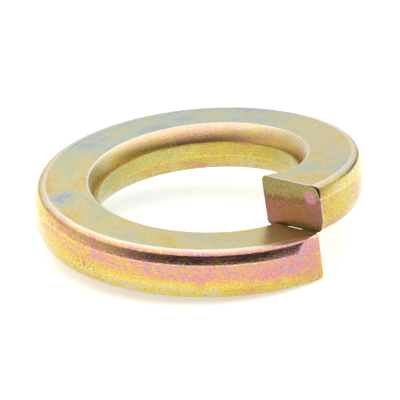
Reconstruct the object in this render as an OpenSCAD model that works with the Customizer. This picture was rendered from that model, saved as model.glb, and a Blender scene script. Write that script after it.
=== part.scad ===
// Spring lock washer: one turn of square-edged spring wire, coiled left-hand and sheared
// through at a slant, so that its two sharp ends bite when a right-hand thread backs off.
// Lengths are millimetres. The origin is on the bore's axis, level with the lowest point,
// and the split lies on the +X side.

/* [Wire] */
// Diameter of the hole that the bolt goes through
hole_d = 16.1; // [12:0.1:24]
// Width of the wire, from the hole to the outside
wire_w = 5.15; // [3.5:0.05:8]
// Thickness of the wire, along the bolt
wire_t = 3.96; // [3.2:0.02:6]
// Gap between the two ends, along the bolt, when nothing presses on the washer
end_gap = 0.06; // [0.06:0.02:3]

/* [Corners of the wire] */
// How far an outer corner's round reaches over the flat
outer_round_w = 0.9; // [0.6:0.02:1.4]
// How far an outer corner's round reaches down the wall
outer_round_h = 1; // [0.6:0.02:1.4]
// How far an inner corner's round reaches over the flat
inner_round_w = 0.84; // [0.7:0.02:1.4]
// How far an inner corner's round reaches down the wall
inner_round_h = 1.38; // [0.7:0.02:1.5]
// Angle in degrees at which a round leaves the flat
flat_angle = 12; // [2:1:25]
// Angle in degrees at which a round meets the wall
wall_angle = 22; // [12:1:30]

/* [Sheared ends] */
// Lean of the cut away from a radius, in degrees, seen from above
cut_skew = 12; // [0:1:25]
// Lean of the cut away from upright, in degrees
cut_slant = 7.5; // [0:0.5:20]
// How far the lower end runs on past the upper end's cut
end_lap = 0.3; // [0:0.05:1]
// Length of wire, up to each cut, that the shear presses out of shape
pressed_len = 3; // [1:0.1:5]
// Depth at the tip of the flat that it presses into the lower end's outer side
pinch_depth = 0.4; // [0.2:0.05:1.2]
// Share of its size that a round keeps at a tip, where the shear presses it square
tip_round_share = 0.3; // [0.2:0.05:1]

/* [Hidden] */

// Steps of the coil around its turn, and of the curve in each corner
turn_steps = 96;
round_steps = 5;

hole_r = hole_d / 2;
outer_r = hole_r + wire_w;
mid_r = hole_r + wire_w / 2;
rise = wire_t + end_gap;
// A corner's curve runs a little past its wall, so it keeps well inside half the thickness
corner_limit = 0.39 * wire_t;
outer_corner_h = min(outer_round_h, corner_limit);
inner_corner_h = min(inner_round_h, corner_limit);
// Height of the coil's middle over its lowest point, at the lower end's outer corner
lowest = [outer_r - tip_round_share * outer_round_w, -wire_t / 2];
base_z = -on_coil(lowest, 360 + end_angle(lowest, end_lap)).z;
// The block that cuts the pressed flat runs this far past both of its ends
pinch_over = 1;
// Taller than the washer, for cutting tools
reach = 3 * (rise + wire_t);

// A point on the curve that leaves a towards b and reaches c from b
function curve(a, b, c, k) = (1 - k) * (1 - k) * a + 2 * k * (1 - k) * b + k * k * c;

// One corner, w over the flat and h down the wall, for a flat at y = 0 and a wall at x = 0.
// Its last point lies just past the wall, where the bore or the outside trims it.
function corner(w, h) =
    let (
        steep = 1 / tan(wall_angle),
        shallow = tan(flat_angle),
        knee_x = (w * shallow - h) / (steep - shallow),
        knee = [knee_x, -shallow * (knee_x + w)]
    )
    [for (i = [0 : round_steps]) curve([-w, 0], knee, [0, -h], i / (round_steps - 0.5))];

function backwards(list) = [for (i = [len(list) - 1 : -1 : 0]) list[i]];

// Share of its size that a round has at this length of wire from the cut that presses it
function round_share(from_cut) =
    let (along = min(1, from_cut / pressed_len))
    tip_round_share + (1 - tip_round_share) * (1 - cos(180 * along)) / 2;

// The wire's section, as [radius, height] points that go once round it. The shear presses the
// inner rounds square at the upper end, and the outer ones at the lower end.
function section(turn) =
    let (
        inner_share = round_share(turn * 2 * PI * hole_r),
        outer_share = round_share((1 - turn) * 2 * PI * outer_r),
        outer = corner(outer_share * outer_round_w, outer_share * outer_corner_h),
        inner = corner(inner_share * inner_round_w, inner_share * inner_corner_h)
    )
    concat(
        [for (q = outer) [outer_r + q.x, wire_t / 2 + q.y]],
        backwards([for (q = outer) [outer_r + q.x, -wire_t / 2 - q.y]]),
        [for (q = inner) [hole_r - q.x, -wire_t / 2 - q.y]],
        backwards([for (q = inner) [hole_r - q.x, wire_t / 2 + q.y]])
    );

// How far the plane of a cut lies past the split, at angle a on the helix through q
function cut_ahead(q, a) =
    tan(cut_skew) * (q.x * cos(a) - mid_r) - tan(cut_slant) * (q.y - rise * a / 360);

// The angle where the helix through q crosses a cut that lies lap further on, found by repeating
function end_angle(q, lap, a = 0, passes = 8) =
    passes == 0 ? a : end_angle(q, lap, asin((lap + cut_ahead(q, a)) / q.x), passes - 1);

// The place that q reaches after turning by a: the coil goes down as it goes round
function on_coil(q, a) = [q.x * cos(a), q.x * sin(a), q.y + rise * (0.5 - a / 360)];

// Where a circle of radius r meets the level y
function on_circle(r, y) = [sqrt(r * r - y * y), y];

// One turn of wire from cut to cut, with its walls left a little proud
module coil() {
    starts = [for (q = section(0)) end_angle(q, 0)];
    ends = [for (q = section(1)) 360 + end_angle(q, end_lap)];
    n = len(starts);
    points = [
        for (i = [0 : turn_steps])
            let (turn = i / turn_steps, ring = section(turn))
            for (k = [0 : n - 1]) on_coil(ring[k], starts[k] * (1 - turn) + ends[k] * turn)
    ];
    sides = [
        for (i = [0 : turn_steps - 1], k = [0 : n - 1])
            let (a = i * n + k, b = i * n + (k + 1) % n)
            each [[a, b + n, b], [a, a + n, b + n]]
    ];
    first_end = [for (k = [0 : n - 1]) k];
    last_end = [for (k = [n - 1 : -1 : 0]) turn_steps * n + k];
    polyhedron(points, concat(sides, [first_end, last_end]));
}

// Block that presses a flat into the outer side of the lower end, up to its tip. Its top lies
// in the gap between the two ends, which slopes as the coil does.
module pinch() {
    tip_y = end_lap + tan(cut_skew) * wire_w / 2;
    start = on_circle(outer_r, tip_y - pressed_len);
    tip = on_circle(outer_r, tip_y) - [pinch_depth, 0];
    way = tip - start;
    rotate([-atan2(rise, 2 * PI * outer_r), 0, 0])
        translate([start.x, start.y, -reach])
            rotate([0, 0, atan2(way.y, way.x)])
                translate([-pinch_over, -wire_w, 0])
                    cube([norm(way) + 2 * pinch_over, wire_w, reach]);
}

module lock_washer() {
    color("darkkhaki")
    translate([0, 0, base_z])
    difference() {
        intersection() {
            coil();
            cylinder(r = outer_r, h = 2 * reach, center = true, $fn = 180);
        }
        cylinder(r = hole_r, h = 2 * reach, center = true, $fn = 180);
        pinch();
    }
}

lock_washer();
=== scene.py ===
# %% [markdown]
# # A spring lock washer in yellow zinc
#
# The real part is one turn of hard spring wire. The wire starts round, is rolled square with
# soft corners, wound into a coil, and sheared off turn by turn. Each turn is then hardened
# and plated, and the plating leaves a thin clear film whose thickness changes from place to
# place, so it shimmers from olive through yellow and pink to grey green.
#
# There is a single piece to model, so the lesson is about doing one form and one finish well.

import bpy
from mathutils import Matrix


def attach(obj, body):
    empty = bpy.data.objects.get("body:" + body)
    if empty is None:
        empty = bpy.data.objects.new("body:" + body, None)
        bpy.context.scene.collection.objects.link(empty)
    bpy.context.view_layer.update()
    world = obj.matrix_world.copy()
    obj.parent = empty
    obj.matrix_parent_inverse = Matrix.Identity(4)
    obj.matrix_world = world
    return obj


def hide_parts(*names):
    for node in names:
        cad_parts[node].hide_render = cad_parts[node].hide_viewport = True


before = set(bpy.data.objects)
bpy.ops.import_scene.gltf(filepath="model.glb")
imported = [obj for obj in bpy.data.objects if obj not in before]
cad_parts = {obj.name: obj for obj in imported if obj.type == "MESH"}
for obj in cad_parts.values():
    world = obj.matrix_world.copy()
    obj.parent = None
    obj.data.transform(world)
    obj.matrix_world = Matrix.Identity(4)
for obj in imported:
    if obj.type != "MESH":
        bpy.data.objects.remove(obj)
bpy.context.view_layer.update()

# %% Modules
import math

import bmesh
import bpy
from mathutils import Matrix, Vector

# %% [markdown]
# ## Sizes
#
# All sizes are written in millimetres, as a drawing would give them, and turned into metres
# where a mesh needs them. They are the same values that the solid part has.

# %% Sizes of the washer
MM = 0.001

HOLE_R = 8.05
WIRE_W = 5.15
WIRE_T = 3.96
END_GAP = 0.06
OUTER_R = HOLE_R + WIRE_W
MID_R = HOLE_R + WIRE_W / 2
RISE = WIRE_T + END_GAP

OUTER_ROUND = (0.90, 1.00)
INNER_ROUND = (0.84, 1.38)

CUT_SKEW = math.radians(12)
CUT_SLANT = math.radians(7.5)
END_LAP = 0.3
PRESSED_LEN = 3.0
PINCH_DEPTH = 0.4
TIP_ROUND_SHARE = 0.3
print("outside diameter", round(2 * OUTER_R, 2), "mm, free height about", round(RISE + WIRE_T, 2), "mm")

# %% [markdown]
# ## The camera
#
# A small part is photographed with a long lens from about 30 cm, so parallel edges stay almost
# parallel. The camera stands to the front right, about 23 degrees up, and is rolled a little.

# %% Place the camera
AZIMUTH = math.radians(46.3)
ELEVATION = math.radians(22.86)
ROLL = math.radians(-2.27)
CAMERA_DISTANCE = 300.5 * MM
AIM = Vector((0, 0, 3.953 * MM))
AIM_SHIFT = (0.06 * MM, -0.446 * MM)
LENS, SENSOR_WIDTH = 335.9, 36
CLIP_START = 0.01

to_camera = Vector((math.sin(AZIMUTH), -math.cos(AZIMUTH), 0))
right = Vector((math.cos(AZIMUTH), math.sin(AZIMUTH), 0))
back = to_camera * math.cos(ELEVATION) + Vector((0, 0, math.sin(ELEVATION)))
up = back.cross(right)
eye = AIM + back * CAMERA_DISTANCE + right * AIM_SHIFT[0] + up * AIM_SHIFT[1]
turned_right = right * math.cos(ROLL) + up * math.sin(ROLL)
turned_up = up * math.cos(ROLL) - right * math.sin(ROLL)

camera_data = bpy.data.cameras.new("camera")
camera_data.lens = LENS
camera_data.sensor_width = SENSOR_WIDTH
camera_data.clip_start = CLIP_START
camera = bpy.data.objects.new("camera", camera_data)
bpy.context.scene.collection.objects.link(camera)
axes = Matrix((turned_right, turned_up, back)).transposed()
camera.matrix_world = Matrix.Translation(eye) @ axes.to_4x4()
bpy.context.scene.camera = camera
print("camera at", [round(v, 4) for v in eye])

# %% [markdown]
# ## The wire's section
#
# Rolled wire has flat faces and corners that are rounded, but not evenly. The outer corner turns
# tightly below the top face, then runs down almost straight and meets the wall in a faint ridge.
# The inner one is an easier curve. Each corner is drawn as three points: the edge of the flat, a
# knee and the edge of the wall. A vertex bevel then rounds the knees and breaks the ridges,
# because a bevel keeps both neighbours straight, which a curve through the points would not.

# %% Draw the section as a face
OUTER_ANGLES = (math.radians(12), math.radians(18))
INNER_ANGLES = (math.radians(42), math.radians(17))
OUTER_KNEE, INNER_KNEE, RIDGE_ROUND = 0.2, 0.72, 0.07
KNEE_SEGMENTS, RIDGE_SEGMENTS = 8, 2
# More points down each wall and across the lower flat, for the film and the drag further on.
# The lowest level is also where the inner round ends, so two points fall together there, and
# the coil gets a strip of faces without area. It is a fault that the bevels further on show.
WALL_LEVELS = (0.3, -0.2, -0.6)
FLAT_RADII = (11.5, 11.1, 10.0, 9.6)


def corner_points(reach, angles):
    """Flat end, knee and wall end of a corner whose flat is at y = 0 and wall at x = 0."""
    over, down = reach
    shallow, steep = math.tan(angles[0]), 1 / math.tan(angles[1])
    knee_x = (over * shallow - down) / (steep - shallow)
    return [(-over, 0.0), (knee_x, -shallow * (knee_x + over)), (0.0, -down)]


def side_points(wall, outward, corner):
    """One side of the section from top to bottom, with a few points down its wall."""
    upper = [(wall + outward * x, WIRE_T / 2 + z) for x, z in corner]
    lower = [(x, -z) for x, z in reversed(upper)]
    return upper + [(wall, z) for z in WALL_LEVELS] + lower


def round_points(bm, points, offset, segments):
    """Round a face's corners at these points."""
    bmesh.ops.bevel(bm, geom=points, offset=offset * MM, offset_type="OFFSET", segments=segments,
                    profile=0.5, affect="VERTICES", material=-1)


def section_face(bm):
    """The wire's section in the XZ plane, with its corners and ridges rounded."""
    outer = side_points(OUTER_R, 1, corner_points(OUTER_ROUND, OUTER_ANGLES))
    inner = side_points(HOLE_R, -1, corner_points(INNER_ROUND, INNER_ANGLES))
    sides = [[bm.verts.new((x * MM, 0, z * MM)) for x, z in side] for side in (outer, inner)]
    lower_flat = [bm.verts.new((x * MM, 0, -WIRE_T / 2 * MM)) for x in FLAT_RADII]
    bm.faces.new(sides[0] + lower_flat + sides[1][::-1])
    ridges = [side[i] for side in sides for i in (0, 2, -3, -1)]
    outer_knees, inner_knees = [[side[1], side[-2]] for side in sides]
    round_points(bm, ridges, RIDGE_ROUND, RIDGE_SEGMENTS)
    round_points(bm, outer_knees, OUTER_KNEE, KNEE_SEGMENTS)
    round_points(bm, inner_knees, INNER_KNEE, KNEE_SEGMENTS)
    return len(bm.verts)


coil = bmesh.new()
print("section points", section_face(coil))

# %% [markdown]
# ## One turn of coil
#
# Spin with a small drop at each step winds the section into a helix. It keeps the floats that
# are stored on each point, so every point still knows its own place on the section afterwards.
# A Screw modifier would also wind it, but then the ends couldn't be pressed and cut one by one.

# %% Store each point's place on the section
ON_WALL = 0.001

radius_of = coil.verts.layers.float.new("radius")
level_of = coil.verts.layers.float.new("level")
girth_of = coil.verts.layers.float.new("girth")
loop = coil.faces[:][0].verts[:]
girth, before = 0.0, loop[-1].co.copy()
for vert in loop:
    girth += (vert.co - before).length / MM
    before = vert.co.copy()
    vert[radius_of], vert[level_of], vert[girth_of] = vert.co.x / MM, vert.co.z / MM, girth
GIRTH = girth
WALL_GIRTH = min(v[girth_of] for v in loop if v[radius_of] > OUTER_R - ON_WALL)
BORE_GIRTH = min(v[girth_of] for v in loop if v[radius_of] < HOLE_R + ON_WALL)
print("girth of the wire", round(GIRTH, 2), "mm, its outer wall starts at", round(WALL_GIRTH, 2), "mm")

# %% Wind the coil
TURN_STEPS = 240

bmesh.ops.delete(coil, geom=coil.faces[:], context="FACES_KEEP_BOUNDARY")
bmesh.ops.spin(coil, geom=coil.edges[:] + coil.verts[:], cent=(0, 0, 0), axis=(0, 0, 1),
               dvec=(0, 0, -RISE * MM / TURN_STEPS), angle=math.tau, steps=TURN_STEPS,
               use_merge=False, use_duplicate=False)
print("points after the spin", len(coil.verts))

# %% [markdown]
# ## The sheared ends
#
# The shear cuts the coil at a slant, and it squeezes the wire as it does: the rounds go square
# near the two tips, on the inside of the upper end and the outside of the lower one. So every
# point slides along its own helix, until the first and last rings lie in the slanted cuts, and
# the rounds shrink towards the tips. Both are small moves of points that the spin has made.

# %% Slide the rings into the cuts and square the tips
CUT_PASSES = 6


def cut_ahead(radius, level, angle):
    """How far the cut lies past the split, at this angle on the helix through a point."""
    lean = math.tan(CUT_SKEW) * (radius * math.cos(angle) - MID_R)
    return lean - math.tan(CUT_SLANT) * (level - RISE * angle / math.tau)


def cut_angle(radius, level, lap):
    """The angle where the helix through a point crosses a cut that lies lap further on."""
    angle = 0.0
    for _ in range(CUT_PASSES):
        angle = math.asin((lap + cut_ahead(radius, level, angle)) / radius)
    return angle


def round_share(from_cut):
    """Share of its size that a round has at this length of wire from the cut that presses it."""
    along = min(1.0, from_cut / PRESSED_LEN)
    return TIP_ROUND_SHARE + (1 - TIP_ROUND_SHARE) * (1 - math.cos(math.pi * along)) / 2


def pressed(radius, level, turn):
    """A section point's radius and level once the shear has pressed the rounds there."""
    outside = radius > MID_R
    wall, over = (OUTER_R, OUTER_ROUND[0]) if outside else (HOLE_R, INNER_ROUND[0])
    if abs(radius - wall) > over + 2 * RIDGE_ROUND:
        return radius, level
    turns_from_cut = 1 - turn if outside else turn
    share = round_share(turns_from_cut * math.tau * wall)
    down = WIRE_T / 2 - abs(level)
    new_level = math.copysign(WIRE_T / 2 - down * share, level)
    return wall + (radius - wall) * share, new_level


turn_of = coil.verts.layers.float.new("turn")
for vert in coil.verts:
    radius, level = vert[radius_of], vert[level_of]
    turn = (level - vert.co.z / MM) / RISE
    vert[turn_of] = turn
    first = cut_angle(*pressed(radius, level, 0), 0)
    last = math.tau + cut_angle(*pressed(radius, level, 1), END_LAP)
    radius, level = pressed(radius, level, turn)
    angle = first * (1 - turn) + last * turn
    height = level + RISE / 2 - RISE * angle / math.tau
    vert.co = Vector((radius * math.cos(angle), radius * math.sin(angle), height)) * MM
print("points moved", len(coil.verts))

# %% [markdown]
# The shear also drags the upper end's lower edge down a little, most at its two sides. Only a
# sliver of light is left between the two ends, in the middle. A table gives the drag for a few
# radii, and a small helper reads it at any other one.

# %% Drag the upper end's lower edge down
DRAG = ((8.05, 0.34), (9.6, 0.3), (10.0, 0.11), (11.1, 0.11), (11.5, 0.24), (12.3, 0.24), (13.2, 0.0))
DRAG_TOP = -WIRE_T / 2 + 0.9 * INNER_ROUND[1]
FIRST_RING = 1e-4


def read_table(table, place):
    """The value of a table at this place, on a straight line between its two nearest pairs."""
    for (x0, y0), (x1, y1) in zip(table, table[1:]):
        if place <= x1:
            return y0 + (y1 - y0) * max(0.0, (place - x0) / (x1 - x0))
    return table[-1][1]


dragged = [v for v in coil.verts if v[turn_of] < FIRST_RING and v[level_of] < DRAG_TOP]
for vert in dragged:
    vert.co.z -= read_table(DRAG, vert[radius_of]) * MM
print("points dragged down", len(dragged))

# %% Close the ends and stand the coil on its lowest point
SKIN, CUT = 0, 1

open_edges = [e for e in coil.edges if e.is_boundary]
caps = bmesh.ops.edgeloop_fill(coil, edges=open_edges, mat_nr=CUT)["faces"]
bmesh.ops.recalc_face_normals(coil, faces=coil.faces[:])
base_z = -min(v.co.z for v in coil.verts)
bmesh.ops.translate(coil, vec=(0, 0, base_z), verts=coil.verts[:])
print("end faces", len(caps), "height", round(max(v.co.z for v in coil.verts) / MM, 3), "mm")

# %% [markdown]
# ## The pinched flat
#
# The blade also leaves a small flat on the outer side of the lower end. It is a bisect plane
# that cuts only the faces close to that end, and the opening that it leaves is filled. A
# boolean would cut the whole ring, or need a block that ends in the right place. The flat's two
# corners on the cut face are rounded, as the real tips are never sharp.

# %% Cut the flat into the lower end
PINCH_ZONE = 0.9
ON_PLANE = 1e-7
TIP_ROUND, TIP_SEGMENTS = 0.3, 3


def on_circle(radius, y):
    return Vector((math.sqrt(radius * radius - y * y), y, 0))


tip_y = END_LAP + math.tan(CUT_SKEW) * WIRE_W / 2
start = on_circle(OUTER_R, tip_y - PRESSED_LEN)
tip = on_circle(OUTER_R, tip_y) - Vector((PINCH_DEPTH, 0, 0))
outward = Vector((tip.y - start.y, start.x - tip.x, 0)).normalized()
faces = [f for f in coil.faces if all(v[turn_of] > PINCH_ZONE for v in f.verts)]
points = dict.fromkeys(v for f in faces for v in f.verts)
edges = dict.fromkeys(e for f in faces for e in f.edges)
cut = bmesh.ops.bisect_plane(coil, geom=[*points, *edges, *faces], dist=ON_PLANE,
                             plane_co=start * MM, plane_no=outward, clear_outer=True)
rim = [e for e in cut["geom_cut"] if isinstance(e, bmesh.types.BMEdge) and e.is_boundary]
flats = bmesh.ops.edgeloop_fill(coil, edges=rim, mat_nr=SKIN)["faces"]
tips = [v for f in flats for v in f.verts if any(near.material_index == CUT for near in v.link_faces)]
round_points(coil, tips, TIP_ROUND, TIP_SEGMENTS)
flats = [f for f in coil.faces if all(abs(outward.dot(v.co - start * MM)) < ON_PLANE for v in f.verts)]
print("flats made", len(flats), "with", len(rim), "rim edges and", len(tips), "rounded tips")

# %% [markdown]
# ## Fine bevels
#
# Small edges catch the light, so the flat's rim and the sheared edges are each given a bevel.
# It falls short here, and this is a known fault. The overlap clamp cuts every bevel down to
# suit the shortest edges beside it. The rim's bevel comes out about 0.005 mm wide, not 0.045.
# The sheared edges' bevel has no width at all, because it touches the edges without length
# that the section's two joined points have left. So the sheared edges stay sharp.
#
# Each bevel also says how worn it is, in an attribute that the material reads. Bare metal on
# the upper sheared edges and dirt along the others were meant, but faces without area can't
# show them. The bright lines that are seen there are painted highlights, drawn by the material's
# own masks.

# %% Break the sheared edges
RIM_BREAK, EDGE_BREAK = 0.045, 0.07
EDGE_SEGMENTS = 2
SHEARED_TURN = math.radians(50)
# Wear of 1 is bare metal, and -1 is full of dirt
RIM_WEAR, TOP_WEAR, OTHER_WEAR = 0.4, 1.0, -0.8
TOP_DEPTH = 0.3
# A millionth of a square millimetre, in square metres
NO_AREA = 1e-12


def break_edges(edges, width):
    made = bmesh.ops.bevel(coil, geom=edges, offset=width * MM, offset_type="OFFSET",
                           segments=EDGE_SEGMENTS, profile=0.5, affect="EDGES", material=-1,
                           clamp_overlap=True)
    return made["faces"]


bmesh.ops.recalc_face_normals(coil, faces=coil.faces[:])
worn_of = coil.loops.layers.float.new("worn")
flat_edges = [e for face in flats for e in face.edges]
rims = [e for e in flat_edges if e.is_manifold and e.calc_face_angle() < SHEARED_TURN]
for face in break_edges(rims, RIM_BREAK):
    for corner in face.loops:
        corner[worn_of] = RIM_WEAR
# This also finds edges of the strip without area, where the angle between faces means nothing
sheared = [e for e in coil.edges if e.is_manifold and e.calc_face_angle() > SHEARED_TURN]
for face in break_edges(sheared, EDGE_BREAK):
    for corner in face.loops:
        near_top = corner.vert[level_of] > WIRE_T / 2 - TOP_DEPTH
        corner[worn_of] = TOP_WEAR if near_top else OTHER_WEAR
print("rims", len(rims), "sheared edges", len(sheared), "open edges", sum(e.is_boundary for e in coil.edges))
print("faces without area", sum(face.calc_area() < NO_AREA for face in coil.faces), "of", len(coil.faces))

# %% [markdown]
# ## A map along the wire
#
# The plating's patches and scratches follow the wire, so the textures need coordinates that
# follow it too. The UV map is in millimetres: u runs along the wire from the upper end, and v
# runs round its girth from the inner edge of the top face. On the two cut faces, u is the
# radius and v is the level instead. Box-mapped object coordinates would be quicker, but their
# scratches would run straight across a ring.

# %% Lay out the map
WIRE_LENGTH = math.tau * MID_R

uv = coil.loops.layers.uv.new("wire_mm")
for face in coil.faces:
    girths = [v[girth_of] for v in face.verts]
    across_seam = max(girths) - min(girths) > GIRTH / 2
    for corner in face.loops:
        vert = corner.vert
        v = vert[girth_of] - GIRTH * (across_seam and vert[girth_of] > GIRTH / 2)
        if face.material_index == CUT:
            corner[uv].uv = (vert[radius_of], vert[level_of])
        else:
            corner[uv].uv = (vert[turn_of] * WIRE_LENGTH, v)
print("wire length", round(WIRE_LENGTH, 1), "mm")

# %% [markdown]
# ## Where the film is thick and where it is thin
#
# A film's colour depends on its thickness, which drifts slowly from place to place. Each table
# gives that drift along the wire, as pairs of turn and thickness, where 1 is one whole round of
# colours. The tables are read at each corner of each face into an attribute that the material
# can use, so two faces that meet can differ. Near its foot, a wall takes over the colour of the
# round below, because the film runs down there while it dries.

# %% Tables of the slow drift
TOP_DRIFT = (
    (0, 1.04), (0.03, 1.08), (0.06, 0.88), (0.1, 1), (0.16, 1.06), (0.25, 0.94), (0.33, 0.84), (0.42, 0.82),
    (0.55, 0.86), (0.61, 1.0), (0.64, 1.12), (0.68, 1.02), (0.9, 1.0), (0.95, 1.06), (1, 1.06),
)
OUTER_DRIFT = (
    (0, 0.24), (0.02, 0.16), (0.09, 0.11), (0.15, -0.12), (0.5, -0.04), (0.63, 0.0), (0.68, 0.16),
    (0.74, 0.26), (0.82, 0.32), (0.9, 0.36), (0.97, 0.4), (1, 0.31),
)
INNER_DRIFT = (
    (0, 1.1), (0.1, 0.94), (0.17, 1.04), (0.35, 1.1), (0.48, 0.97), (0.6, 0.9), (0.8, 1), (1, 1),
)
OUTER_ROUND_DRIFT = (
    (0, 0.12), (0.15, 0.1), (0.5, 0.0), (0.65, 0.03), (0.73, 0.2), (0.8, 0.24), (0.93, 0.3), (1, 0.36),
)
INNER_ROUND_DRIFT = (
    (0, 0.2), (0.2, 0.16), (0.3, 0.24), (0.42, 0.3), (0.48, 0.17), (0.55, 0.1), (1, 0.1),
)
LOWER_ROUND_DRIFT = ((0, 0.1), (0.5, 0.06), (0.65, 0.08), (0.85, 0.08), (1, 0.1))

# %% Store the drift at each corner
NEAR = 0.01
FOOT_START, FOOT_END = -0.2, -1.0


def zone(face):
    """The drift table for a face: top or bottom face, wall, or round, inside or outside."""
    outside = sum(v[radius_of] for v in face.verts) / len(face.verts) > MID_R
    wall = OUTER_R if outside else HOLE_R
    levels = [v[level_of] for v in face.verts]
    if min(abs(level) for level in levels) > WIRE_T / 2 - NEAR:
        return TOP_DRIFT
    on_wall = max(abs(v[radius_of] - wall) for v in face.verts) < NEAR
    if on_wall or max(levels) - min(levels) > WIRE_T / 2:
        return OUTER_DRIFT if outside else INNER_DRIFT
    if max(levels) < 0:
        return LOWER_ROUND_DRIFT
    return OUTER_ROUND_DRIFT if outside else INNER_ROUND_DRIFT


def film_at(table, turn, level):
    """The drift at a corner of a face. Walls run over into the lower rounds' colour at the foot."""
    film = read_table(table, turn)
    if table not in (OUTER_DRIFT, INNER_DRIFT):
        return film
    below = read_table(LOWER_ROUND_DRIFT, turn)
    nearest = below + round(film - below)
    foot = min(1.0, max(0.0, (FOOT_START - level) / (FOOT_START - FOOT_END)))
    return film + foot * (nearest - film)


film_of = coil.loops.layers.float.new("film")
for face in coil.faces:
    table = zone(face)
    for corner in face.loops:
        corner[film_of] = film_at(table, corner.vert[turn_of], corner.vert[level_of])
drifts = [corner[film_of] for face in coil.faces for corner in face.loops]
print("film drift from", round(min(drifts), 2), "to", round(max(drifts), 2))

# %% [markdown]
# ## From mesh to piece
#
# The faces are shaded smooth, apart from edges that turn sharply. Weighted normals keep the
# large faces flat where they run into the narrow faces of the rounds, which would otherwise
# bend their shading.

# %% Make the piece
SHARP_TURN = math.radians(30)

mesh = bpy.data.meshes.new("plated_washer")
coil.to_mesh(mesh)
coil.free()
mesh.polygons.foreach_set("use_smooth", [True] * len(mesh.polygons))
mesh.set_sharp_from_angle(angle=SHARP_TURN)
washer = bpy.data.objects.new("plated_washer", mesh)
bpy.context.scene.collection.objects.link(washer)
weighted = washer.modifiers.new("weighted_normals", "WEIGHTED_NORMAL")
weighted.keep_sharp = True
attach(washer, "root")
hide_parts("lock_washer")
print("triangles", sum(len(p.vertices) - 2 for p in mesh.polygons))

# %% [markdown]
# ## Helpers for node trees
#
# A node helper keeps the trees short to write: it makes a node, sets its properties, and then
# sets or links each input by name or by number. The smaller ones give plain names to sums,
# products and steps, so a material reads like a recipe.


# %% Node helpers
def colour(red, green, blue):
    """A screen colour, each part from 0 to 255, as the linear colour that nodes use."""
    parts = [c / 255 for c in (red, green, blue)]
    return tuple(c / 12.92 if c <= 0.04045 else ((c + 0.055) / 1.055) ** 2.4 for c in parts) + (1.0,)


def node(tree, kind, inputs=None, **properties):
    made = tree.nodes.new("ShaderNode" + kind)
    for name, value in properties.items():
        setattr(made, name, value)
    for name, value in (inputs or {}).items():
        if isinstance(value, bpy.types.NodeSocket):
            tree.links.new(value, made.inputs[name])
        else:
            made.inputs[name].default_value = value
    return made


def maths(tree, operation, a, b=0.0, c=0.0):
    return node(tree, "Math", {0: a, 1: b, 2: c}, operation=operation).outputs[0]


def plus(tree, a, b):
    return maths(tree, "ADD", a, b)


def minus(tree, a, b):
    return maths(tree, "SUBTRACT", a, b)


def times(tree, a, b):
    return maths(tree, "MULTIPLY", a, b)


def scaled(tree, value, factor, offset):
    """The value times a factor, plus an offset."""
    return maths(tree, "MULTIPLY_ADD", value, factor, offset)


def choose(tree, mask, off, on):
    """A value that goes from off to on as the mask goes from 0 to 1."""
    return scaled(tree, mask, on - off, off)


def steps(tree, value, low, high, to_low=0.0, to_high=1.0):
    """A smooth step from to_low to to_high as the value goes from low to high."""
    limits = {"Value": value, "From Min": low, "From Max": high, "To Min": to_low, "To Max": to_high}
    return node(tree, "MapRange", limits, interpolation_type="SMOOTHSTEP").outputs["Result"]


def distance(tree, vector, point):
    return node(tree, "VectorMath", {0: vector, 1: point}, operation="DISTANCE").outputs["Value"]


# %% Noise helpers
def noise(tree, vector, stretch, detail=2.0, roughness=0.5, distortion=0.0):
    """Noise whose scale is given separately along u and v, in features per millimetre."""
    place = node(tree, "VectorMath", {0: vector, 1: (*stretch, 1.0)}, operation="MULTIPLY").outputs[0]
    settings = {"Vector": place, "Scale": 1.0, "Detail": detail, "Roughness": roughness,
                "Distortion": distortion}
    return node(tree, "TexNoise", settings).outputs["Fac"]


def swing(tree, vector, stretch, detail, roughness, size):
    """Noise that swings about zero, over this size in all."""
    return scaled(tree, noise(tree, vector, stretch, detail, roughness), size, -size / 2)


# %% Group and colour helpers
def new_group(name, ins, outs):
    """A node group with float, vector or colour sockets, and its input and output nodes."""
    group = bpy.data.node_groups.new(name, "ShaderNodeTree")
    for side, names in (("INPUT", ins), ("OUTPUT", outs)):
        for socket, kind in names.items():
            group.interface.new_socket(socket, in_out=side, socket_type="NodeSocket" + kind)
    return group, group.nodes.new("NodeGroupInput"), group.nodes.new("NodeGroupOutput")


def group_node(tree, group, inputs):
    made = tree.nodes.new("ShaderNodeGroup")
    made.node_tree = group
    for name, value in inputs.items():
        tree.links.new(value, made.inputs[name])
    return made


def mixed(tree, share, first, second):
    """A mix of two colours, all the second one where the share is 1."""
    made = tree.nodes.new("ShaderNodeMix")
    made.data_type = "RGBA"
    for socket, value in ((0, share), (6, first), (7, second)):
        if isinstance(value, bpy.types.NodeSocket):
            tree.links.new(value, made.inputs[socket])
        else:
            made.inputs[socket].default_value = value
    return made.outputs[2]


def shaded(tree, base, factor):
    """The colour times a factor, the same for red, green and blue."""
    grey = node(tree, "CombineXYZ", {0: factor, 1: factor, 2: factor}).outputs[0]
    return node(tree, "VectorMath", {0: base, 1: grey}, operation="MULTIPLY").outputs[0]


def most(tree, *masks):
    """The largest of some masks at each place."""
    joined = masks[0]
    for mask in masks[1:]:
        joined = maths(tree, "MAXIMUM", joined, mask)
    return joined


# %% [markdown]
# ## The film's colours
#
# White light that is reflected by a film loses one colour after another as the film thickens:
# straw, yellow, orange, rose, lilac, grey blue, green, and round again. A colour ramp over the
# fraction of the thickness gives that order. A true thin-film node would give stronger colours
# than a chromate film shows.

# %% Film colours as a group
FILM_STOPS = (
    (0.00, (204, 192, 150)),
    (0.12, (210, 188, 84)),
    (0.26, (206, 164, 106)),
    (0.38, (206, 142, 130)),
    (0.50, (194, 142, 150)),
    (0.62, (170, 152, 168)),
    (0.72, (158, 166, 170)),
    (0.82, (172, 186, 182)),
    (0.88, (182, 192, 168)),
    (0.94, (190, 188, 132)),
)

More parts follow.
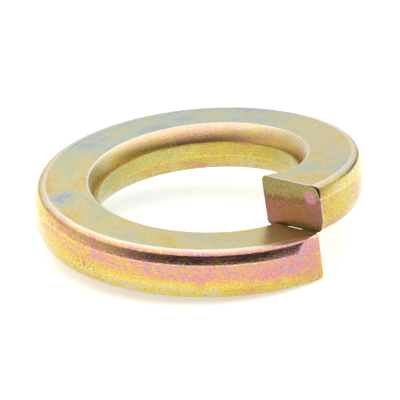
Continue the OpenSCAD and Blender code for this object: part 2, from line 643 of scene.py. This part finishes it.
film_colours, film_in, film_out = new_group("film_colours", {"Thickness": "Float"}, {"Color": "Color"})
fraction = maths(film_colours, "FRACT", film_in.outputs["Thickness"])
ramp = node(film_colours, "ValToRGB", {"Fac": fraction})
for place, stop in FILM_STOPS[1:]:
    ramp.color_ramp.elements.new(place).color = colour(*stop)
ramp.color_ramp.elements[0].color = ramp.color_ramp.elements[-1].color = colour(*FILM_STOPS[0][1])
film_colours.links.new(ramp.outputs["Color"], film_out.inputs["Color"])
print("film colours", len(ramp.color_ramp.elements))

# %% [markdown]
# ## Patches, streaks and lines
#
# The film also varies in small: cloudy patches a few millimetres wide, streaks along the wire
# from the rolling, drips across it, grain, and thin meandering lines where drops dried. Each
# is a noise with its own stretch. The lines are contours of a noise, found as the places where
# it is close to a half.

# %% Variation of the film as a group
# Each layer's features per millimetre along and across, detail, roughness and size of swing
CLOUDS = ((0.22, 0.4), 4, 0.6, 1.1)
STREAKS = ((0.5, 4.0), 3, 0.65, 0.18)
DRIPS = ((1.1, 0.12), 3, 0.75, 0.4)
GRAIN = ((3.0, 8.0), 2, 0.7, 0.2)
LINE_WIDTH = 0.035

variation, vary_in, vary_out = new_group(
    "film_variation", {"Map": "Vector"}, {"Thickness": "Float", "Lines": "Float"})
place = vary_in.outputs["Map"]
total = swing(variation, place, *CLOUDS)
for layer in (STREAKS, DRIPS, GRAIN):
    total = plus(variation, total, swing(variation, place, *layer))
contour = minus(variation, noise(variation, place, (0.5, 0.9), 3, 0.6, 1.2), 0.5)
lines = steps(variation, maths(variation, "ABSOLUTE", contour), 0.0, LINE_WIDTH, 1.0, 0.0)
patchy = steps(variation, noise(variation, place, (0.2, 0.35), 1), 0.4, 0.55)
variation.links.new(total, vary_out.inputs["Thickness"])
variation.links.new(times(variation, lines, patchy), vary_out.inputs["Lines"])
print("nodes for the variation", len(variation.nodes))

# %% Surface relief as a group
PEBBLE_SHARE, SCRATCH_SHARE = 0.75, 0.25
LEAST_ROUGH, ROUGH_SWING = 0.03, 0.26

relief, relief_in, relief_out = new_group(
    "surface_relief", {"Map": "Vector"}, {"Height": "Float", "Roughness": "Float"})
place = relief_in.outputs["Map"]
pebble = times(relief, noise(relief, place, (4.5, 5.5), 3, 0.65), PEBBLE_SHARE)
scratch = times(relief, noise(relief, place, (0.3, 14.0), 2, 0.6), SCRATCH_SHARE)
dull = scaled(relief, noise(relief, place, (0.6, 1.4), 4, 0.7), ROUGH_SWING, LEAST_ROUGH)
relief.links.new(plus(relief, pebble, scratch), relief_out.inputs["Height"])
relief.links.new(dull, relief_out.inputs["Roughness"])
print("nodes for the relief", len(relief.nodes))

# %% [markdown]
# ## The plated skin
#
# One material covers the whole skin. It first needs to know where it is: on the top face, on a
# round or on a wall. The map's v is the place round the girth, so a mask for each part is a
# comparison or two. Separate materials would leave hard seams between the parts.

# %% Masks for the parts of the wire
FLAT_WIDTH = WIRE_W - OUTER_ROUND[0] - INNER_ROUND[0]
BORE_TOP = BORE_GIRTH + WIRE_T - 2 * INNER_ROUND[1]

zinc = bpy.data.materials.new("yellow_zinc")
zinc.use_nodes = True
tree = zinc.node_tree
shader = tree.nodes["Principled BSDF"]
place = node(tree, "UVMap", uv_map="wire_mm").outputs["UV"]
along, around, _ = node(tree, "SeparateXYZ", {"Vector": place}).outputs

on_flat = maths(tree, "LESS_THAN", around, FLAT_WIDTH)
past_flat = maths(tree, "GREATER_THAN", around, FLAT_WIDTH)
above_wall = maths(tree, "LESS_THAN", around, WALL_GIRTH)
past_round = maths(tree, "GREATER_THAN", around, WALL_GIRTH)
below_bore_round = maths(tree, "LESS_THAN", around, BORE_TOP)
on_round = times(tree, past_flat, above_wall)
below_top = times(tree, past_round, below_bore_round)
bore_side = times(tree, below_bore_round, steps(tree, around, BORE_GIRTH - 1.0, BORE_GIRTH))
print("top face", round(FLAT_WIDTH, 2), "mm wide, bore wall up to", round(BORE_TOP, 2), "mm")

# %% [markdown]
# The film's thickness is the slow drift, plus the small variation, calmer on the top face and
# on the inner round, plus the dried lines, which show most on the walls. One stain on the top
# face, where the film is thinner, shows lilac in a blue fringe.

# %% Thickness and colour of the film
LEAST_ON_TOP, LEAST_BELOW = -0.6, -0.05
LINES_ON_TOP, LINES_BELOW = 0.1, 0.32
CALM_ON_BORE_ROUND, CALM_FLAT = 0.45, -0.25
STAIN_PLACE = (44.6, 2.8, 0.0)
STAIN_REACH, STAIN_RAGGED, STAIN_DEPTH = 2.0, 2.2, -0.34

film = node(tree, "Attribute", attribute_name="film").outputs["Fac"]
vary = group_node(tree, variation, {"Map": place}).outputs
least = choose(tree, below_top, LEAST_ON_TOP, LEAST_BELOW)
varied = maths(tree, "MAXIMUM", vary["Thickness"], least)
calm = scaled(tree, on_flat, CALM_FLAT, choose(tree, below_bore_round, CALM_ON_BORE_ROUND, 1.0))
thickness = scaled(tree, varied, calm, film)
line_depth = choose(tree, below_top, LINES_ON_TOP, LINES_BELOW)
thickness = scaled(tree, vary["Lines"], line_depth, thickness)
from_stain = scaled(tree, vary["Thickness"], STAIN_RAGGED, distance(tree, place, STAIN_PLACE))
thickness = plus(tree, thickness, steps(tree, from_stain, 0.0, STAIN_REACH, STAIN_DEPTH, 0.0))
base = group_node(tree, film_colours, {"Thickness": thickness}).outputs["Color"]
print("stain", STAIN_PLACE[0], "mm along the wire")

# %% [markdown]
# The rounds are paler next to the top face, with a few bright dots, the top face's inner edge is a
# pale line, and the wall's upper ridge and the bore's lower crease are broken bright lines, all
# painted highlights. The bore is greener all over. All of these are masks that mix a plain colour
# into the film's.

# %% Bore, top face and painted highlights on rounds and ridges
EDGE_WAVE = ((1.5, 0.2), 3, 0.6, 0.16)
PINCH_START = WIRE_LENGTH * (1 - PRESSED_LEN / (math.tau * OUTER_R))
# Strength, start and end of the painted highlights on the outer and inner rounds
OUTER_HIGHLIGHT, OUTER_HIGHLIGHT_START, OUTER_HIGHLIGHT_END = 0.8, 0.05, 0.6
INNER_HIGHLIGHT, INNER_HIGHLIGHT_START, INNER_HIGHLIGHT_END = 0.5, 0.1, 1.2
BORE_TINT, FLAT_TINT = 0.45, 0.2

across = plus(tree, around, swing(tree, place, *EDGE_WAVE))
broken = steps(tree, noise(tree, place, (1.2, 1.2), 3, 0.7), 0.35, 0.6)


def line_at(girth, width, strength):
    """A mask for a thin, slightly wavering line along the skin at this girth."""
    away = maths(zinc.node_tree, "ABSOLUTE", minus(zinc.node_tree, across, girth))
    return steps(zinc.node_tree, away, 0.0, width, strength, 0.0)


base = mixed(tree, times(tree, bore_side, BORE_TINT), base, colour(202, 194, 84))
# A broken bright line along the bore wall's lower crease: a painted highlight.
base = mixed(tree, times(tree, line_at(BORE_GIRTH, 0.12, 0.8), broken), base, colour(228, 210, 96))
base = mixed(tree, times(tree, on_flat, FLAT_TINT), base, colour(206, 198, 176))

# Painted highlights: pale bands on the outer and inner rounds next to the top face, mixed with a pale colour
# below.
highlight_start, highlight_end = FLAT_WIDTH + OUTER_HIGHLIGHT_START, FLAT_WIDTH + OUTER_HIGHLIGHT_END
outer_highlight = steps(tree, across, highlight_start, highlight_end, OUTER_HIGHLIGHT, 0.0)
outer_highlight = times(tree, outer_highlight, steps(tree, around, FLAT_WIDTH - OUTER_HIGHLIGHT_START, FLAT_WIDTH))
inner_highlight = steps(tree, minus(tree, GIRTH, across), INNER_HIGHLIGHT_START, INNER_HIGHLIGHT_END, INNER_HIGHLIGHT, 0.0)
before_pinch = steps(tree, along, PINCH_START - 0.5, PINCH_START, 1.0, 0.0)
# The wall's upper ridge: a broken painted highlight line, which stops before the pinched flat.
ridge_highlight = times(tree, times(tree, line_at(WALL_GIRTH, 0.06, 0.5), before_pinch), broken)
# Bright dots on the rounds: painted glints.
glint_dots = steps(tree, noise(tree, place, (4.2, 5.0), 2, 0.6), 0.6, 0.68, 0.0, 0.6)
# The top face's inner edge line is a painted highlight too.
painted_highlights = most(tree, line_at(0.0, 0.08, 0.6), ridge_highlight, outer_highlight, inner_highlight, times(tree, glint_dots, on_round))
base = mixed(tree, painted_highlights, base, colour(230, 222, 202))
print("pinched flat starts", round(PINCH_START, 1), "mm along the wire")

# %% [markdown]
# Dark specks are scattered over the skin, and one cluster of pits sits low on the front wall.
# A fine mottle then makes the whole skin lighter and darker, least on the top face. Next to the
# upper end's cut the wall is a little darker, and so is the bore: both are painted shade.

# %% Specks, pits, mottle and painted shade
SPECK_DEPTH, PIT_DEPTH = 0.6, 0.7
PITS_PLACE = (49.5, WALL_GIRTH + 2.2, 0.0)
PITS_CORE, PITS_REACH = 0.5, 2.2
MOTTLE = ((5.0, 7.0), 3, 0.85, 1.0)
MOTTLE_BELOW, MOTTLE_ON_TOP, MOTTLE_MIDDLE = 1.25, 0.6, 1.02
# How much painted shade darkens the wall near the cut and the bore
SHADE_NEAR_CUT, SHADE_ON_BORE = 0.15, 0.1

specks = steps(tree, noise(tree, place, (3.2, 4.2), 2, 0.6), 0.66, 0.72, 0.0, SPECK_DEPTH)
pits = steps(tree, distance(tree, place, PITS_PLACE), PITS_CORE, PITS_REACH, 1.0, 0.0)
pits = times(tree, pits, steps(tree, noise(tree, place, (4.5, 5.5), 3, 0.6), 0.55, 0.62, 0.0, PIT_DEPTH))
base = mixed(tree, most(tree, specks, pits), base, colour(120, 100, 66))

mottle_size = choose(tree, on_flat, MOTTLE_BELOW, MOTTLE_ON_TOP)
mottle = scaled(tree, swing(tree, place, *MOTTLE), mottle_size, MOTTLE_MIDDLE)
# Painted shade: the wall next to the upper end's cut and the bore are darkened.
shade_near_cut = times(tree, past_round, steps(tree, along, 5.0, 10.0, SHADE_NEAR_CUT, 0.0))
base = shaded(tree, base, minus(tree, mottle, scaled(tree, bore_side, SHADE_ON_BORE, shade_near_cut)))
print("pits", round(PITS_PLACE[1], 1), "mm round the girth")

# %% [markdown]
# Both edges of the top face and the edge of the upper end's cut get painted highlight lines,
# the outer one stronger near the upper end and at the front. The attribute adds bare zinc on the
# pinched flat's rim, which is too narrow to see. A small dark crescent along the burr at the
# upper end's outer corner is painted shade. The attribute asks for dirt in bevels too, but those
# have no area, so none of it shows.

# %% Painted highlights on edges, painted shade at the burr, and dirt
BURR_MIDDLE, BURR_BEND = 4.02, 0.35
BURR_CORE, BURR_EDGE = 0.18, 0.32

# The upper end's cut edge: a painted highlight line, strongest on the top face.
on_top = steps(tree, around, 3.5, 3.9, 0.95, 0.15)
cut_edge_highlight = times(tree, steps(tree, along, 0.08, 0.24, 1.0, 0.0), on_top)
# The top face's outer edge: a painted highlight line, stronger near the upper end and at the front.
near_start = steps(tree, along, 4.0, 8.0, 1.0, 0.3)
front = steps(tree, along, 34, 42, 0.3, 1.0)
rim = times(tree, line_at(FLAT_WIDTH, 0.12, 0.95), choose(tree, broken, 0.5, 1.0))
rim = times(tree, rim, maths(tree, "MAXIMUM", near_start, front))
worn = node(tree, "Attribute", attribute_name="worn").outputs["Fac"]
# Painted highlights on the edges, together with the bare metal that the worn attribute asks for.
highlights_and_wear = most(tree, rim, cut_edge_highlight, worn, line_at(GIRTH, 0.16, 0.6))
base = mixed(tree, highlights_and_wear, base, colour(232, 226, 230))

# The dark crescent along the burr at the upper end's outer corner is painted shade.
from_burr = minus(tree, around, BURR_MIDDLE)
from_burr = scaled(tree, times(tree, from_burr, from_burr), BURR_BEND, along)
burr_shade = steps(tree, from_burr, BURR_CORE, BURR_EDGE, 1.0, 0.0)
# Painted shade at the burr, and dirt where the worn attribute is negative.
dirt_and_shade = most(tree, burr_shade, times(tree, worn, -1.0))
base = mixed(tree, dirt_and_shade, base, colour(52, 46, 42))
print("burr_shade", BURR_MIDDLE, "mm round the girth")

# %% [markdown]
# The gloss changes with the relief's own roughness. The top face and the inner round mirror
# the tent softly, so they are duller than the rest, and the pinched flat is a little too.

# %% Gloss and relief
BUMP_DEPTH = 0.02 * MM
DULLER_FLAT, DULLER_BORE_ROUND, DULLER_PINCH = 0.12, 0.12, 0.06

surface = group_node(tree, relief, {"Map": place}).outputs
rough = scaled(tree, on_flat, DULLER_FLAT, surface["Roughness"])
rough = scaled(tree, minus(tree, 1.0, below_bore_round), DULLER_BORE_ROUND, rough)
rough = plus(tree, rough, steps(tree, along, PINCH_START - 3.0, PINCH_START, 0.0, DULLER_PINCH))
height = times(tree, surface["Height"], choose(tree, on_flat, 1.0, 0.5))
bump = node(tree, "Bump", {"Strength": 1.0, "Distance": BUMP_DEPTH, "Height": height})
tree.links.new(base, shader.inputs["Base Color"])
tree.links.new(rough, shader.inputs["Roughness"])
tree.links.new(bump.outputs["Normal"], shader.inputs["Normal"])
shader.inputs["Metallic"].default_value = 1.0
mesh.materials.append(zinc)
print("nodes for the skin", len(tree.nodes))

# %% [markdown]
# ## The sheared faces
#
# The blade bites smooth into the upper part of a cut face and then tears the rest, so there is
# a polished olive band above a rough, darker field with marks that run down. The plating is
# thin there and looks orange brown, with a rosy patch near the outer wall. On these faces the
# map holds the radius and the level, so each zone is a step in one of them, made ragged.

# %% Zones of a sheared face
RAGGED = ((3.5, 0.6), 4, 0.75, 0.9)
BAND_FOOT, BAND_FULL = 0.72, 1.0
FRINGE_LEVEL, FRINGE_WIDTH, FRINGE_DEPTH = 0.8, 0.3, 0.4
ROSY_PLACE = (12.35, 0.95, 0)
ROSY_CORE, ROSY_EDGE, ROSY_RAGGED = 0.2, 0.65, 0.6

sheared_zinc = bpy.data.materials.new("sheared_zinc")
sheared_zinc.use_nodes = True
tree = sheared_zinc.node_tree
shader = tree.nodes["Principled BSDF"]
place = node(tree, "UVMap", uv_map="wire_mm").outputs["UV"]
radius, level, _ = node(tree, "SeparateXYZ", {"Vector": place}).outputs
ragged = swing(tree, place, *RAGGED)
ragged_radius = plus(tree, radius, ragged)
ragged_level = plus(tree, level, ragged)

band = steps(tree, ragged_level, BAND_FOOT, BAND_FULL)
from_fringe = maths(tree, "ABSOLUTE", minus(tree, ragged_level, FRINGE_LEVEL))
fringe = steps(tree, from_fringe, 0.0, FRINGE_WIDTH, FRINGE_DEPTH, 0.0)
outer_side = steps(tree, ragged_radius, 11.6, 12.0)
inner_side = steps(tree, ragged_radius, 8.2, 9.2, 0.7, 0.0)
# The foot of the cut face is darker: a painted shade.
foot = steps(tree, ragged_level, -1.7, -1.0, 1.0, 0.0)
from_rosy = scaled(tree, ragged, ROSY_RAGGED, distance(tree, place, ROSY_PLACE))
rosy = steps(tree, from_rosy, ROSY_CORE, ROSY_EDGE, 1.0, 0.0)
print("band from level", BAND_FOOT, "mm up")

# %% Colours of a sheared face
SPECKLE_SWING, SPECKLE_LEAST = 2.4, -0.1
TORN_ROUGH, TORN_SWING = 0.25, 0.3

marks = noise(tree, place, (7.0, 0.35), 3, 0.7)
base = mixed(tree, marks, colour(138, 92, 74), colour(206, 152, 120))
base = mixed(tree, most(tree, outer_side, inner_side), base, colour(170, 122, 122))
# Painted shade at the foot of the cut face.
base = mixed(tree, foot, base, colour(118, 98, 70))
base = mixed(tree, band, base, colour(176, 164, 116))
base = mixed(tree, fringe, base, colour(110, 96, 66))
base = mixed(tree, rosy, base, colour(216, 156, 188))
speckle = noise(tree, place, (8.0, 6.0), 3, 0.8)
base = shaded(tree, base, scaled(tree, speckle, SPECKLE_SWING, SPECKLE_LEAST))
rough = scaled(tree, marks, TORN_SWING, TORN_ROUGH)
bump = node(tree, "Bump", {"Strength": 1.0, "Distance": BUMP_DEPTH, "Height": marks})
tree.links.new(base, shader.inputs["Base Color"])
tree.links.new(rough, shader.inputs["Roughness"])
tree.links.new(bump.outputs["Normal"], shader.inputs["Normal"])
shader.inputs["Metallic"].default_value = 1.0
mesh.materials.append(sheared_zinc)
print("nodes for the sheared faces", len(tree.nodes))

# %% [markdown]
# ## Paper and tent
#
# The washer lies on white paper inside a white tent. Polished metal shows what stands round it,
# so the tent's dark front, where the camera looks in, is what draws the dark line along the
# rounded corners. It is wide and low. A second, weaker gap far round to the right draws the
# thin dark line at the right. Lamps would leave hot spots that such soft light doesn't have.

# %% Floor
FLOOR_SIZE = 2.0
PAPER_WHITE, PAPER_ROUGH, PAPER_GLOW = (0.8, 0.8, 0.8, 1), 0.9, 0.45

floor_mesh = bpy.data.meshes.new("floor")
floor_form = bmesh.new()
bmesh.ops.create_grid(floor_form, x_segments=1, y_segments=1, size=FLOOR_SIZE / 2)
floor_form.to_mesh(floor_mesh)
floor_form.free()
floor = bpy.data.objects.new("floor", floor_mesh)
bpy.context.scene.collection.objects.link(floor)
paper = bpy.data.materials.new("white_paper")
paper.use_nodes = True
paper_shader = paper.node_tree.nodes["Principled BSDF"]
paper_shader.inputs["Base Color"].default_value = PAPER_WHITE
paper_shader.inputs["Roughness"].default_value = PAPER_ROUGH
paper_shader.inputs["Emission Color"].default_value = (1, 1, 1, 1)
paper_shader.inputs["Emission Strength"].default_value = PAPER_GLOW
floor_mesh.materials.append(paper)
print("floor", FLOOR_SIZE, "m wide")

# %% World: a white tent with two dark gaps
TENT_LOW, TENT_HIGH = 0.92, 1.52
BRIGHTER_FROM, BRIGHTER_TO = 0.4, 0.8
TENT_DARK = (0.024, 0.03, 0.036, 1)
# A gap's bearings from the camera in degrees, where it starts, is full on both sides and ends,
# and the heights, from 0 at the horizon to 1 overhead, where it starts to fade and ends
FRONT = (-92, -18, 60, 115, 0.26, 0.66)
SIDE = (116, 132, 152, 168, 0.22, 0.48)
SIDE_SHARE = 0.65

world = bpy.data.worlds.new("tent")
bpy.context.scene.world = world
world.use_nodes = True
tree = world.node_tree
tree.nodes.clear()
way = node(tree, "TexCoord").outputs["Generated"]
depth = node(tree, "VectorMath", {0: way, 1: to_camera}, operation="DOT_PRODUCT").outputs["Value"]
wide = node(tree, "VectorMath", {0: way, 1: right}, operation="DOT_PRODUCT").outputs["Value"]
high = node(tree, "SeparateXYZ", {"Vector": way}).outputs["Z"]
bearing = maths(tree, "ARCTAN2", wide, depth)


def gap_in_tent(left, full_left, full_right, right_end, full_high, high_end):
    """A mask for a dark gap, by its bearings in degrees and its heights."""
    left_side = steps(tree, bearing, math.radians(left), math.radians(full_left))
    right_side = steps(tree, bearing, math.radians(full_right), math.radians(right_end), 1.0, 0.0)
    low_part = steps(tree, high, full_high, high_end, 1.0, 0.0)
    return times(tree, times(tree, left_side, right_side), low_part)


opening = maths(tree, "MAXIMUM", gap_in_tent(*FRONT), times(tree, gap_in_tent(*SIDE), SIDE_SHARE))
light = steps(tree, high, BRIGHTER_FROM, BRIGHTER_TO, TENT_LOW, TENT_HIGH)
background = node(tree, "Background", {"Color": mixed(tree, opening, light, TENT_DARK)})
node(tree, "OutputWorld", {"Surface": background.outputs["Background"]})
bpy.context.scene.view_settings.view_transform = "Standard"
print("nodes for the tent", len(tree.nodes))
